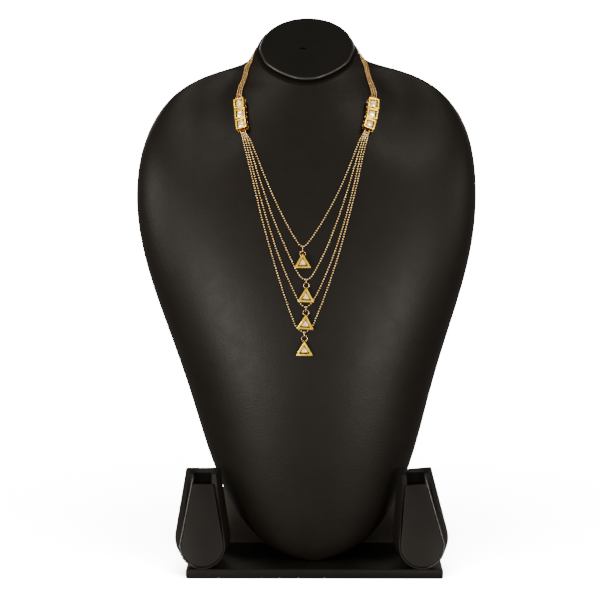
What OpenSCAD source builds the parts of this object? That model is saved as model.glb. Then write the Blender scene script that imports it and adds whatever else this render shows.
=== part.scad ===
// Four-strand layered necklace with triangular drops, on the neck bust that shows it.
// Millimetres, +Z up, front towards -Y. The origin is the middle of the base plank's underside.

/* [Neck bust] */
// Width of the bust across its widest part
bust_w = 249; // [232:1:262]
// How far the bust leans to its side on the base, in degrees
bust_lean = 1; // [0:0.5:2]
// Height of the middle of the slanted neck cap above the base
cap_z = 374.1; // [372:0.1:376]
// Slope of the neck cap, front edge down
cap_tilt = 39; // [34:1:42]
// Thickness of the neck cap
cap_t = 3.4; // [2:0.2:5]

/* [Base] */
// Width of the base plank
plank_w = 184; // [176:1:200]
// Depth of the base plank
plank_d = 92; // [88:1:110]
// Thickness of the base plank
plank_h = 7; // [5:0.5:7]
// Height of the back panel above the plank
panel_h = 42.5; // [30:0.5:44]
// Thickness of the back panel
panel_t = 5.8; // [4:0.2:6]

/* [Earring rests] */
// Distance of the left rest from the middle
rest_x_left = 80.5; // [79:0.5:86]
// Distance of the right rest from the middle
rest_x_right = 77; // [75:0.5:82]
// How far the right rest leans inwards, in degrees
rest_lean_right = 5; // [0:0.5:7]
// Slope of the rests from the level, in degrees
rest_slope = 76; // [72:1:82]
// Depth of a rest from its face to its back
rest_d = 12; // [11:0.5:13]
// Half width of a rest's back at its round foot
rest_r = 20; // [17:0.5:20]
// Length of a rest along its slope
rest_len = 73; // [68:0.5:74]
// Half width of the front plate at its round foot
plate_r = 15.4; // [13:0.2:15.6]
// Thickness of the front plate
plate_t = 2.4; // [2:0.1:2.5]

/* [Strands] */
// Diameter of a strand bead
bead_d = 1.5; // [1.3:0.05:1.5]
// Spacing of the strand beads along the wire
bead_pitch = 2.05; // [2.05:0.05:2.4]
// Diameter of the wire through the beads
wire_d = 0.4; // [0.3:0.05:0.5]
// Diameter of a neck chain bead
chain_d = 1.2; // [1:0.05:1.2]
// Spacing of the three neck chains on each side
chain_gap = 1.45; // [1.4:0.05:1.6]

/* [Square cells] */
// Side of a square cell
cell_w = 7.8; // [7.4:0.1:8]
// Spacing of the cells along their rods
cell_pitch = 8.45; // [8.3:0.05:9]
// Depth of a square cell
cell_t = 5; // [4.8:0.1:5.4]
// Diameter of the two rods that carry the cells
rod_d = 0.7; // [0.6:0.05:0.8]

/* [Triangular drops] */
// Width of a drop
drop_w = 11.6; // [10.8:0.1:11.8]
// Thickness of a drop
drop_t = 2.6; // [2.4:0.1:3]
// Outside diameter of the jump ring that a drop hangs on
ring_od = 4.6; // [4.4:0.1:4.8]
// Wire of the jump rings and links
ring_wire = 0.6; // [0.5:0.05:0.6]

/* [Hidden] */
gap = 0.2;

// The bust's outline from the front. Columns: height, half width, and what its left half
// has more.
OUTLINE = [
    [7.3, 4, 0], [8.5, 10.5, 0], [10.5, 18, 0], [17, 33, 0], [27, 45, 0.2], [43, 57, 0.4],
    [72, 71.3, 0.8], [105, 81.3, 1.4], [141, 90.8, 1.6], [176, 103, 2.1], [211, 114.3, 2.4],
    [247, 121.8, 3.1], [272, 122.9, 3.2], [299, 121.3, 1.9], [316, 117, 0.5], [330, 110, 0],
    [342, 100, 0], [350, 90, 0], [356, 78, 0], [360, 67.5, 0], [363, 56.5, 0],
    [365, 48.6, 0], [368, 43.4, 0], [371, 39.6, 0], [374.5, 37.3, 0], [380, 36.8, 0],
    [405, 36.8, 0]
];

// The bust's depth. Columns: height, y of the side edge, depth of the chest in front of it,
// half width of the neck, depth of the neck, depth of the back, and the roundness
// (exponent of the curve) of the back and of the neck.
SIDE = 1;
CHEST = 2;
NECK_W = 3;
NECK = 4;
BACK = 5;
BACK_ROUND = 6;
NECK_ROUND = 7;
DEPTH = [
    [7.3, -17, 2.5, 105, 0, 20, 2.4, 2.8],
    [12, -13, 9, 105, 0, 27, 2.6, 2.8],
    [20, -8, 16, 105, 0, 33, 3, 2.8],
    [40, 1, 28, 105, 0, 36, 3.2, 2.8],
    [70, 8, 38, 105, 0, 33, 3.2, 2.8],
    [110, 12, 44, 105, 0, 33, 3, 2.8],
    [150, 15, 47, 105, 0, 33, 3, 2.8],
    [200, 19, 47, 105, 0, 32, 3, 2.8],
    [250, 24, 43.5, 105, 2, 30, 3, 2.8],
    [300, 31, 36, 78, 20, 28, 3, 2.8],
    [318, 36.5, 30, 66, 30, 26, 2.8, 2.8],
    [330, 39, 23, 62, 33, 25, 2.6, 2.6],
    [342, 41, 14, 62, 32.4, 25, 2.4, 2.12],
    [350, 41.6, 8, 61, 29.2, 25.5, 2.3, 1.68],
    [354, 41.9, 6, 59.8, 28.4, 25.7, 2.2, 1.42],
    [358, 42, 4, 57.6, 28.4, 26.3, 2.15, 1.27],
    [362, 42, 2.8, 54, 28.6, 27.2, 2.05, 1.17],
    [366, 42, 1.4, 49.5, 28.7, 28.3, 2, 1.16],
    [370, 42, 0, 46.5, 28.7, 28.7, 2, 1.2],
    [374, 42, 0, 45, 28.7, 28.7, 2, 1.4],
    [405, 42, 0, 60, 28.7, 28.7, 2, 1.6]
];
CHEST_ROUND = 2.1;

// Heights at which the bust is sliced, closer together where its form turns quickly.
SLICES = [
    7.3, 8.6, 10.5, 13.5, 17, 22, 28, 36, 45, 56, 70, 86, 104, 122, 141, 160, 180, 200, 220,
    238, 255, 270, 284, 297, 308, 318, 326, 333, 339, 344, 348.5, 352.5, 356, 359, 361.5,
    363.2, 364.8, 366.4, 368.2, 370.2, 372.2, cap_z
];
slice_sides = 56;
slant_from = 330;
neck_y = 42;

// How high a strand's middle rides over the skin, and how high where a link hangs from it.
ride = 0.9;
ride_link = 1.25;

// Routes of the four strands from the left fan to the right one, over the front of the bust.
// Columns: x, height, ride over the skin. The row named in STRAND_LINK holds the drop's link.
STRAND_1 = [
    [-41.2, 312.5, ride], [-36.6, 301, ride], [-28, 279, ride], [-17.5, 256, ride],
    [-8.6, 240, ride], [-4.6, 236.5, ride_link], [-0.4, 239.2, ride], [11.4, 256, ride],
    [23.5, 278, ride], [33.2, 300, ride], [38, 311.5, ride]
];
STRAND_2 = [
    [-42.9, 312.5, ride], [-39.6, 301, ride], [-32.8, 279, ride], [-25, 256, ride],
    [-15.5, 233, ride], [-7.2, 216.2, ride], [-2.4, 213.2, ride_link], [2.2, 216.2, ride],
    [12, 234, ride], [21.2, 256, ride], [29, 278, ride], [36, 300, ride], [39.7, 311.5, ride]
];
STRAND_3 = [
    [-44.6, 312.5, ride], [-41.7, 301, ride], [-36, 278, ride], [-29.8, 256, ride],
    [-22, 231, ride], [-13.2, 209, ride], [-7.4, 197, ride], [-3, 193.7, ride_link],
    [1.4, 197, ride], [8.2, 209, ride], [17.8, 231, ride], [26.4, 256, ride],
    [32.6, 278, ride], [38, 300, ride], [41.4, 311.5, ride]
];
STRAND_4 = [
    [-46.3, 312.5, ride], [-43.5, 301, ride], [-38.4, 279, ride], [-33.2, 256, ride],
    [-26.6, 231, ride], [-19.4, 206, ride], [-12.2, 184.5, ride], [-9, 178.5, ride],
    [-4.4, 175.8, ride_link], [0.2, 178.5, ride], [4, 185.5, ride], [12.4, 206, ride],
    [21.2, 231, ride], [28.6, 256, ride], [34.6, 278, ride], [39.8, 300, ride],
    [43.1, 311.5, ride]
];
STRAND_LINK = [5, 6, 7, 8];

// The drops. Columns: x, height of the strand over it, straight length of its link,
// height of its point over its eye, turn to its side, and lean back, in degrees.
DROP_X = 0;
DROP_Z = 1;
DROP_LINK = 2;
DROP_POINT = 3;
DROP_TURN = 4;
DROP_LEAN = 5;
DROPS = [
    [-4.6, 236.5, 3, 2.6, -1, 0],
    [-2.4, 213.2, 1.8, 0.9, -3, 0],
    [-3, 193.7, 1.5, 0.9, -5, 0],
    [-4.4, 175.8, 2, 0.9, -1, 10]
];

// The two stations of three cells, each on two straight rods. Columns: x and height of the
// middle cell, the way it faces to the side and upwards, its turn in its own plane, all in
// degrees, and its ride over the skin.
LEFT = [-46.8, 328.6, -22, 28, 15, 0.55];
RIGHT = [46, 327.1, 17, 26, -14.5, 0.6];

// Routes of the middle neck chains, from the cells round to the nape.
// Columns: angle round the neck from its front, height, ride over the skin.
NECK_LEFT = [
    [-60.2, 342.3, 3.05], [-65, 346.8, 2.1], [-70, 351.5, 1.9], [-74.5, 357, 2.1],
    [-79.5, 362.5, 2.2], [-86, 368.5, 1.6], [-94.5, 373.5, 1.2], [-106, 377.5, 1.1],
    [-122, 381, 1.1], [-140, 383.5, 1.4], [-156, 385, 1.9], [-165, 385.5, 2.2]
];
NECK_RIGHT = [
    [58.4, 341, 3.65], [63, 345.2, 2.4], [68, 350, 2], [73.5, 355.5, 2.2],
    [79, 361.5, 2.6], [85.5, 367.5, 2.1], [94, 373, 1.4], [106, 377.5, 1.2],
    [122, 381, 1.1], [140, 383.5, 1.4], [156, 385, 1.9], [165, 385.5, 2.2]
];

// Small vector helpers.
function unit(v) = v / norm(v);
function clamp(v, low, high) = min(max(v, low), high);

// A smooth value between the rows of a table, with no overshoot: column c at height z.
function row_of(table, z, i = 0) =
    i >= len(table) - 2 || z < table[i + 1][0] ? i : row_of(table, z, i + 1);
function slope(table, c, i) =
    (table[i + 1][c] - table[i][c]) / (table[i + 1][0] - table[i][0]);
function tangent(table, c, i) =
    i == 0 ? slope(table, c, 0)
    : i == len(table) - 1 ? slope(table, c, i - 1)
    : let (a = slope(table, c, i - 1), b = slope(table, c, i))
        a * b <= 0 ? 0 : 2 * a * b / (a + b);
function value_at(table, c, z) =
    let (i = row_of(table, z),
         h = table[i + 1][0] - table[i][0],
         u = clamp((z - table[i][0]) / h, 0, 1))
        table[i][c] * (2 * u^3 - 3 * u^2 + 1)
        + tangent(table, c, i) * h * (u^3 - 2 * u^2 + u)
        + table[i + 1][c] * (3 * u^2 - 2 * u^3)
        + tangent(table, c, i + 1) * h * (u^3 - u^2);

// The bust's skin: half width on the side of x, front and back at a height, and the normal
// of the front.
function half_width(x, z) =
    (value_at(OUTLINE, 1, z) + (x < 0 ? value_at(OUTLINE, 2, z) : 0)) * bust_w / 249;
function curve(u, n) = max(0, 1 - min(1, abs(u))^n)^(1 / n);
function front_y(x, z) =
    let (w = half_width(x, z),
         neck_w = min(w, value_at(DEPTH, NECK_W, z)),
         chest = value_at(DEPTH, CHEST, z) * curve(x / w, CHEST_ROUND),
         neck = value_at(DEPTH, NECK, z) * curve(x / neck_w, value_at(DEPTH, NECK_ROUND, z)))
        value_at(DEPTH, SIDE, z) - (chest^3 + neck^3)^(1 / 3);
function back_y(x, z) =
    value_at(DEPTH, SIDE, z)
    + value_at(DEPTH, BACK, z) * curve(x / half_width(x, z), value_at(DEPTH, BACK_ROUND, z));
function front_normal(x, z) =
    unit([front_y(x + 0.5, z) - front_y(x - 0.5, z), -1,
          front_y(x, z + 0.5) - front_y(x, z - 0.5)]);

// A point of the skin at an angle round a level slice.
function inside(x, y, z) =
    abs(x) < half_width(x, z) && y > front_y(x, z) && y < back_y(x, z);
function level_point(a, z) =
    let (x = half_width(sin(a), z) * sin(a)) [x, cos(a) >= 0 ? front_y(x, z) : back_y(x, z), z];

// Slices near the top slant towards the cap: each level point moves along its line from the
// middle of the neck, found by halving.
function slant(z) =
    tan(cap_tilt) * clamp((z - slant_from) / (cap_z - slant_from), 0, 1);
function slant_point(p, k, low = 0, high = 2, n = 16) =
    let (t = (low + high) / 2,
         q = [p.x * t, neck_y + (p.y - neck_y) * t, p.z + k * (p.y - neck_y) * t])
        n == 0 ? q
        : inside(q.x, q.y, q.z) ? slant_point(p, k, t, high, n - 1)
        : slant_point(p, k, low, t, n - 1);
function slice(z) =
    [for (i = [0 : slice_sides - 1])
        let (p = level_point(360 * i / slice_sides, z))
            z > slant_from ? slant_point(p, slant(z)) : p];

// A point of the skin at an angle round the neck, 0 in front, found by halving.
function neck_reach(a, z, low = 0, high = 130, n = 16) =
    let (mid = (low + high) / 2)
        n == 0 ? mid
        : inside(mid * sin(a), neck_y - mid * cos(a), z) ? neck_reach(a, z, mid, high, n - 1)
        : neck_reach(a, z, low, mid, n - 1);
function neck_point(a, z) =
    let (r = neck_reach(a, z)) [r * sin(a), neck_y - r * cos(a), z];
function neck_normal(a, z) =
    let (along = neck_point(a + 1, z) - neck_point(a - 1, z),
         up = neck_point(a, z + 0.5) - neck_point(a, z - 0.5))
        unit(cross(along, up));

// A smooth curve through the rows of a route, steps points for each span.
function between(a, b, c, d, u) =
    0.5 * (2 * b + (c - a) * u + (2 * a - 5 * b + 4 * c - d) * u^2
           + (3 * b - a - 3 * c + d) * u^3);
function smooth(route, steps) =
    let (last = len(route) - 1)
        [for (i = [0 : last - 1], s = [0 : steps - 1])
            between(route[max(i - 1, 0)], route[i], route[i + 1],
                    route[min(i + 2, last)], s / steps),
         route[last]];

// Routes laid on the skin: over the front, and round the neck with a shift to one side.
function lay_front(p) = [p.x, front_y(p.x, p.y), p.y] + front_normal(p.x, p.y) * p.z;
function lay_neck(p) = neck_point(p.x, p.y) + neck_normal(p.x, p.y) * p.z;
function strand_path(route) = [for (p = smooth(route, 10)) lay_front(p)];
function neck_path(route, shift) =
    let (rows = smooth(route, 4),
         mid = [for (p = rows) lay_neck(p)],
         out = [for (p = rows) neck_normal(p.x, p.y)],
         n = len(mid) - 1)
        [for (i = [0 : n])
            let (along = unit(mid[min(i + 1, n)] - mid[max(i - 1, 0)]))
                mid[i] + unit(cross(along, out[i])) * shift];

// Distance along a path, and the point at a distance.
function lengths(path) =
    [for (i = 0, s = 0; i < len(path);
          s = i + 1 < len(path) ? s + norm(path[i + 1] - path[i]) : s, i = i + 1) s];
function point_at(path, dist, s) =
    [for (c = [0 : 2]) lookup(s, [for (i = [0 : len(path) - 1]) [dist[i], path[i][c]]])];
function resample(path, step) =
    let (dist = lengths(path),
         total = dist[len(dist) - 1],
         n = round(total / step))
        [for (i = [0 : n]) point_at(path, dist, total * i / n)];

// Places of the beads: outwards from both sides of the drop's link to the fans.
fan_r = 0.6;
wire_end = fan_r + 0.25;
tube_end = fan_r + 0.5;
link_room = bead_d / 2 + ring_wire / 2 + 0.1;
fan_room = fan_r + bead_d / 2 + 0.15;
function bead_places(path, link_row) =
    let (dist = lengths(path),
         mid = dist[link_row * 10],
         total = dist[len(dist) - 1],
         left = floor((mid - link_room - fan_room) / bead_pitch),
         right = floor((total - mid - link_room - fan_room) / bead_pitch))
        [[for (i = [left : -1 : 0]) mid - link_room - i * bead_pitch],
         [for (i = [0 : right]) mid + link_room + i * bead_pitch]];

// A solid through rings of points, all with the same number of points.
module loft(rings) {
    n = len(rings[0]);
    last = len(rings) - 1;
    polyhedron(
        points = [for (ring = rings) each ring],
        faces = concat(
            [[for (i = [0 : n - 1]) i]],
            [for (k = [0 : last - 1], i = [0 : n - 1], half = [0, 1])
                let (a = k * n + i, b = k * n + (i + 1) % n)
                    half == 0 ? [a, a + n, b + n] : [a, b + n, b]],
            [[for (i = [n - 1 : -1 : 0]) last * n + i]]),
        convexity = 8);
}

// A round tube along a path, with its sides kept in line by the direction out of the neck.
// r is one radius, or a list with one for each point.
module tube(path, r, sides) {
    last = len(path) - 1;
    loft([for (i = [0 : last])
        let (along = unit(path[min(i + 1, last)] - path[max(i - 1, 0)]),
             out = [path[i].x, path[i].y - neck_y, 0],
             side = unit(cross(along, out)),
             up = cross(side, along))
            [for (k = [0 : sides - 1])
                path[i] + (is_list(r) ? r[i] : r)
                    * (cos(360 * k / sides) * side + sin(360 * k / sides) * up)]]);
}

// Moves its children to a point of the skin: x to the right, y up along the skin, z outwards.
module at_frame(p, normal, turn = 0) {
    up = unit([0, 0, 1] - normal.z * normal);
    right = cross(up, normal);
    multmatrix([
        [right.x, up.x, normal.x, p.x],
        [right.y, up.y, normal.y, p.y],
        [right.z, up.z, normal.z, p.z],
        [0, 0, 0, 1]])
        rotate(turn) children();
}

module on_front(x, z, turn = 0) {
    at_frame([x, front_y(x, z), z], front_normal(x, z), turn) children();
}

// Leans its children with the bust, about the middle of its foot.
module lean() {
    translate([0, 0, plank_h]) rotate([0, -bust_lean, 0]) translate([0, 0, -plank_h]) children();
}

module base_plank() {
    bevel = 1;
    color("#1c1a19")
        translate([0, plank_d / 2, 0]) rotate([90, 0, 0])
            linear_extrude(plank_d)
                polygon([
                    [-plank_w / 2 + bevel, 0], [plank_w / 2 - bevel, 0],
                    [plank_w / 2, bevel], [plank_w / 2, plank_h - bevel],
                    [plank_w / 2 - bevel, plank_h], [-plank_w / 2 + bevel, plank_h],
                    [-plank_w / 2, plank_h - bevel], [-plank_w / 2, bevel]]);
}

module back_panel() {
    top_w = 152;
    foot_w = 176;
    color("#1c1a19")
        translate([0, plank_d / 2, plank_h]) rotate([90, 0, 0])
            linear_extrude(panel_t)
                polygon([
                    [-foot_w / 2, 0], [foot_w / 2, 0], [foot_w / 2, 12],
                    [top_w / 2, panel_h], [-top_w / 2, panel_h], [-foot_w / 2, 12]]);
}

module neck_bust() {
    color("#2b2827") lean() loft([for (z = SLICES) slice(z)]);
}

// A round board on the slanted top of the neck, a little smaller than the neck's end.
module neck_cap() {
    edge = slice(cap_z);
    mid = [0, neck_y, cap_z];
    out = [0, -sin(cap_tilt), cos(cap_tilt)];
    // Columns: height over the skin, size against the neck's own edge.
    rows = [[gap, 0.945], [0.8, 0.962], [cap_t - 0.9, 0.962], [cap_t - 0.25, 0.95],
            [cap_t, 0.93]];
    color("#1f1d1c") lean()
        loft([for (row = rows)
            [for (p = edge) mid + (p - mid) * row[1] + out * row[0]]]);
}

// Outline of an earring rest: a round foot that narrows to a flat top.
module rest_outline(r, foot, half_top, top) {
    hull() {
        translate([0, foot]) circle(r, $fn = 48);
        translate([-half_top, top - 1]) square([2 * half_top, 1]);
    }
}

// Where a rest stands, and how far it leans to its left.
function rest_place(side) = side < 0 ? -rest_x_left : rest_x_right;
function rest_lean(side) = side < 0 ? 0 : rest_lean_right;

// Stands its children on the plank's front edge, sloping back, with z into the depth. They
// lean about the middle of their round foot.
module on_plank(side) {
    translate([rest_place(side), -plank_d / 2 + 1, plank_h]) rotate([rest_slope, 0, 0])
        translate([0, plate_foot, 0]) rotate(rest_lean(side)) translate([0, -plate_foot, 0])
            mirror([0, 0, 1]) children();
}

plate_foot = 16.4;
plate_top = 60.8;
plate_half_top = 7.6;

module earring_rest(side) {
    back_foot = rest_r + 3.2;
    back_half_top = 12.2;
    horn_top = 66;
    pocket_w = 13;
    pocket_from = 44;
    pocket_d = 9.6;
    prop_t = 8;
    color("#24211f") {
        on_plank(side) difference() {
            union() {
                hull() {
                    translate([0, 0, rest_d - 2.5]) linear_extrude(2.5)
                        rest_outline(rest_r, back_foot, back_half_top, rest_len);
                    linear_extrude(0.6)
                        rest_outline(plate_r + 1.2, plate_foot, plate_half_top + 1, horn_top);
                }
            }
            translate([0, 0, -1]) linear_extrude(plate_t + gap + 1)
                rest_outline(plate_r + gap, plate_foot, plate_half_top + gap, plate_top + 20);
            translate([-pocket_w / 2, pocket_from, -1])
                cube([pocket_w, 40, pocket_d + 1]);
        }
        // A rib behind the rest that stands it on the plank.
        translate([rest_place(side) - prop_t / 2, 0, 0]) rotate([90, 0, 90])
            linear_extrude(prop_t)
                polygon([
                    [-plank_d / 2 + 14.5, plank_h + 4], [-plank_d / 2 + 13, plank_h],
                    [plank_d / 2 - panel_t - 12, plank_h], [-plank_d / 2 + 26, plank_h + 52]]);
    }
}

module rest_plate(side) {
    color("#2b2826") on_plank(side)
        linear_extrude(plate_t) rest_outline(plate_r, plate_foot, plate_half_top, plate_top);
}

// A drilled bead on its wire.
module bead(p, along) {
    translate(p) rotate([0, acos(along.z), atan2(along.y, along.x)])
        difference() {
            sphere(d = bead_d, $fn = 24);
            cylinder(h = 2 * bead_d, d = wire_d + 0.45, center = true, $fn = 16);
        }
}

// The corners of a strand's wire: its two ends, the middle of each bead, and the link.
function wire_corners(route, link_row) =
    let (path = strand_path(route),
         dist = lengths(path),
         places = bead_places(path, link_row),
         stops = concat([wire_end], places[0], [dist[link_row * 10]], places[1],
                        [dist[len(dist) - 1] - wire_end]))
        [for (s = stops) point_at(path, dist, s)];

// The beads of a strand. Each one is drilled halfway between the directions of its wire.
module bead_strand(route, link_row) {
    corners = wire_corners(route, link_row);
    link = len(bead_places(strand_path(route), link_row)[0]) + 1;
    color("#d9b779") lean()
        for (i = [1 : len(corners) - 2])
            if (i != link)
                bead(corners[i], unit(unit(corners[i + 1] - corners[i])
                                      + unit(corners[i] - corners[i - 1])));
}

module strand_wire(route, link_row) {
    color("#b8955a") lean() tube(wire_corners(route, link_row), wire_d / 2, 6);
}

// A strand drawn as one tube of its beads' diameter, thin where the link goes round it.
module plain_strand(route, link_row) {
    path = strand_path(route);
    dist = lengths(path);
    mid = dist[link_row * 10];
    waist = ring_wire / 2 + 0.2;
    first = tube_end;
    last = dist[len(dist) - 1] - tube_end;
    left = mid - waist - 0.3;
    right = mid + waist + 0.3;
    n = round((left - first) / (2.5 * bead_d));
    m = round((last - right) / (2.5 * bead_d));
    stops = concat(
        [for (i = [0 : n]) [first + (left - first) * i / n, bead_d / 2]],
        [for (d = [-waist, 0, waist]) [mid + d, wire_d / 2]],
        [for (i = [0 : m]) [right + (last - right) * i / m, bead_d / 2]]);
    color("#d9b779") lean()
        tube([for (s = stops) point_at(path, dist, s[0])], [for (s = stops) s[1]], 8);
}

// Outline of a drop: a triangle with its corners taken off, point up, about its middle.
function triangle(w, cut) =
    let (h = w * sqrt(3) / 2, low = -h / 3, top = 2 * h / 3)
        [[cut / 2, top - cut * sqrt(3) / 2], [-cut / 2, top - cut * sqrt(3) / 2],
         [-w / 2 + cut / 2, low + cut * sqrt(3) / 2], [-w / 2 + cut, low],
         [w / 2 - cut, low], [w / 2 - cut / 2, low + cut * sqrt(3) / 2]];
function octagon(w, cut) =
    let (a = w / 2, b = w / 2 - cut)
        [[b, a], [-b, a], [-a, b], [-a, -b], [-b, -a], [b, -a], [a, -b], [a, b]];
function flat_at(outline, z) = [for (p = outline) [p.x, p.y, z]];

ring_r = (ring_od - ring_wire) / 2;
eye_r = 0.7;
ring_play = 0.25;
link_r = 1;
link_height = 1.5;
back_height = link_height + 0.45;
drop_cut = 0.6;
drop_side = drop_w + drop_cut;
drop_h = drop_side * sqrt(3) / 2;
drop_seat = 1;
drop_rim = 1.15;
drop_slope = 0.8;
recess_side = drop_side - 2 * sqrt(3) * drop_rim;
seat_side = recess_side - 2 * sqrt(3) * drop_slope;

// Heights down the skin below the strand: the link's middle, the ring's, and the drop's eye.
function link_drop(d) = 0.3 + d[DROP_LINK] / 2;
function ring_drop(d) = 0.3 + d[DROP_LINK] + ring_play + ring_r;
function eye_drop(d) = ring_drop(d) + ring_r + 0.1;

// Places its children at a drop's eye, in the drop's own directions.
module at_drop(d) {
    lean() on_front(d[DROP_X], d[DROP_Z] - eye_drop(d))
        translate([0, 0, link_height]) rotate([d[DROP_LEAN], 0, d[DROP_TURN]])
            translate([0, 0, -link_height]) children();
}

module drop(i) {
    d = DROPS[i];
    lug_w = 1.3;
    lug_r = 1.2;
    color("#e3bd52") at_drop(d) difference() {
        union() {
            translate([0, d[DROP_POINT] - 2 * drop_h / 3, back_height]) {
                difference() {
                    linear_extrude(drop_t) polygon(triangle(drop_side, drop_cut));
                    loft([flat_at(triangle(seat_side, 0.5), drop_seat),
                          flat_at(triangle(recess_side, 0.4), drop_t + 0.01)]);
                }
            }
            translate([0, 0, link_height]) rotate([0, 90, 0])
                cylinder(h = lug_w, r = lug_r, center = true, $fn = 32);
        }
        translate([0, 0, link_height]) rotate([0, 90, 0])
            cylinder(h = 2 * drop_w, r = eye_r, center = true, $fn = 32);
    }
}

// A flat-backed stone with two rows of facets round its table.
module stone(outline, thick) {
    loft([flat_at([for (p = outline) p * 0.86], 0),
          flat_at(outline, thick * 0.3),
          flat_at([for (p = outline) p * 0.86], thick * 0.72),
          flat_at([for (p = outline) p * 0.58], thick)]);
}

module drop_stone(i) {
    d = DROPS[i];
    color("#e9e4da") at_drop(d)
        translate([0, d[DROP_POINT] - 2 * drop_h / 3, back_height + drop_seat + 0.05])
            stone(triangle(seat_side - 0.2, 0.6), 1.2);
}

// The round jump ring of a drop, flat to the skin, through the eye and the link.
module drop_ring(i) {
    d = DROPS[i];
    color("#d9b456") lean() on_front(d[DROP_X], d[DROP_Z] - ring_drop(d))
        translate([0, 0, link_height])
            rotate_extrude($fn = 48) translate([ring_r, 0]) circle(d = ring_wire, $fn = 16);
}

// A long link with round ends, flat in x and y, its length along y.
module long_link(straight, r, wire) {
    for (end = [0, 1]) rotate(180 * end) translate([0, straight / 2, 0])
        rotate_extrude(angle = 180, $fn = 32)
            translate([r, 0]) circle(d = wire, $fn = 16);
    for (side = [-1, 1]) translate([side * r, straight / 2, 0]) rotate([90, 0, 0])
        cylinder(h = straight, d = wire, $fn = 16);
}

// The link that stands on edge round the strand's wire and the jump ring.
module drop_link(i) {
    d = DROPS[i];
    color("#d9b456") lean() on_front(d[DROP_X], d[DROP_Z] - link_drop(d))
        translate([0, 0, link_height]) rotate([0, 90, 0])
            long_link(d[DROP_LINK], link_r, ring_wire);
}

rod_height = 1.7;
rod_side = 1.7;
row_end = cell_pitch + cell_w / 2;

// A station's own directions: x to the right, y up along its rods, z outwards.
function facing(s) = [sin(s[2]) * cos(s[3]), -cos(s[2]) * cos(s[3]), sin(s[3])];
function station_point(s, p) =
    let (out = facing(s),
         up = unit([0, 0, 1] - out.z * out),
         right = cross(up, out),
         x = p.x * cos(s[4]) - p.y * sin(s[4]),
         y = p.x * sin(s[4]) + p.y * cos(s[4]))
        [s[0], front_y(s[0], s[1]), s[1]] + right * x + up * y + out * (p.z + s[5]);
module at_station(s, y = 0) {
    lean() at_frame([s[0], front_y(s[0], s[1]), s[1]], facing(s), s[4])
        translate([0, y, s[5]]) children();
}

// A square cell: a wide back edge, a narrower wall, and a raised frame round the stone.
module cell(s, row) {
    back_t = 0.8;
    frame_t = 0.9;
    seat = 2.9;
    wall = cell_w - 0.7;
    color("#e3bd52") at_station(s, row * cell_pitch) difference() {
        union() {
            translate([-cell_w / 2, -cell_w / 2, 0]) cube([cell_w, cell_w, back_t]);
            translate([-wall / 2, -wall / 2, 0]) cube([wall, wall, cell_t]);
            translate([-cell_w / 2, -cell_w / 2, cell_t - frame_t])
                cube([cell_w, cell_w, frame_t]);
        }
        loft([flat_at(octagon(cell_w - 3.2, 0.3), seat),
              flat_at(octagon(cell_w - 1.8, 0.1), cell_t + 0.01)]);
        for (side = [-1, 1]) translate([side * rod_side, 0, rod_height]) rotate([90, 0, 0])
            cylinder(h = 2 * cell_w, d = rod_d + 0.35, center = true, $fn = 24);
    }
}

module cell_stone(s, row) {
    color("#ece8df") at_station(s, row * cell_pitch)
        translate([0, 0, 2.95]) stone(octagon(4, 0.7), 1.4);
}

// Two rods through the cells, a bar above them and the fan that spreads the strands below.
module cell_rods(s, outer, inner) {
    fan_at = -row_end - 1.7;
    bar_at = row_end + 0.9;
    color("#d9b456") {
        at_station(s) {
            for (side = [-1, 1]) translate([side * rod_side, fan_at, rod_height])
                rotate([-90, 0, 0]) cylinder(h = bar_at - fan_at, d = rod_d, $fn = 24);
            translate([0, bar_at, rod_height]) rotate([0, 90, 0])
                cylinder(h = 5, d = 1.3, center = true, $fn = 24);
        }
        lean() hull() {
            for (p = [station_point(s, [-rod_side, fan_at, rod_height]),
                      station_point(s, [rod_side, fan_at, rod_height]),
                      lay_front(outer), lay_front(inner)])
                translate(p) sphere(r = fan_r, $fn = 12);
        }
    }
}

module neck_chain(route, shift) {
    color("#d6b36c") lean()
        tube(resample(neck_path(route, shift), 3), chain_d / 2, 8);
}

end_bar_w = 2 * chain_gap + chain_d + 0.6;

// The bar that gathers the three chains at the nape, with a ring for the clasp.
module chain_end(route) {
    path = neck_path(route, 0);
    last = len(path) - 1;
    along = unit(path[last] - path[last - 1]);
    out = unit([path[last].x, path[last].y - neck_y, 0]);
    side = cross(out, along);
    color("#d9b456") lean()
        multmatrix([
            [along.x, side.x, out.x, path[last].x],
            [along.y, side.y, out.y, path[last].y],
            [along.z, side.z, out.z, path[last].z],
            [0, 0, 0, 1]]) {
            translate([gap, -end_bar_w / 2, -chain_d / 2]) cube([1.4, end_bar_w, chain_d]);
            translate([gap + 2.9, 0, 0])
                rotate_extrude($fn = 48) translate([1.6, 0]) circle(d = 0.8, $fn = 16);
        }
}

module round_ended(length, r) {
    square([length, 2 * r], center = true);
    for (side = [-1, 1]) translate([side * length / 2, 0]) circle(r, $fn = 48);
}

// A plain long link that stands for the clasp and joins the two rings at the nape.
module clasp() {
    reach = 3.1;
    left = neck_path(NECK_LEFT, 0);
    right = neck_path(NECK_RIGHT, 0);
    n = len(left) - 1;
    m = len(right) - 1;
    ring_left = left[n] + reach * unit(left[n] - left[n - 1]);
    ring_right = right[m] + reach * unit(right[m] - right[m - 1]);
    outer = 1.9;
    inner = 1.1;
    straight = norm(ring_right - ring_left) + 0.4 - 2 * inner;
    color("#d9b456") lean() translate((ring_left + ring_right) / 2)
        linear_extrude(0.8, center = true) difference() {
            round_ended(straight, outer);
            round_ended(straight, inner);
        }
}

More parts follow.
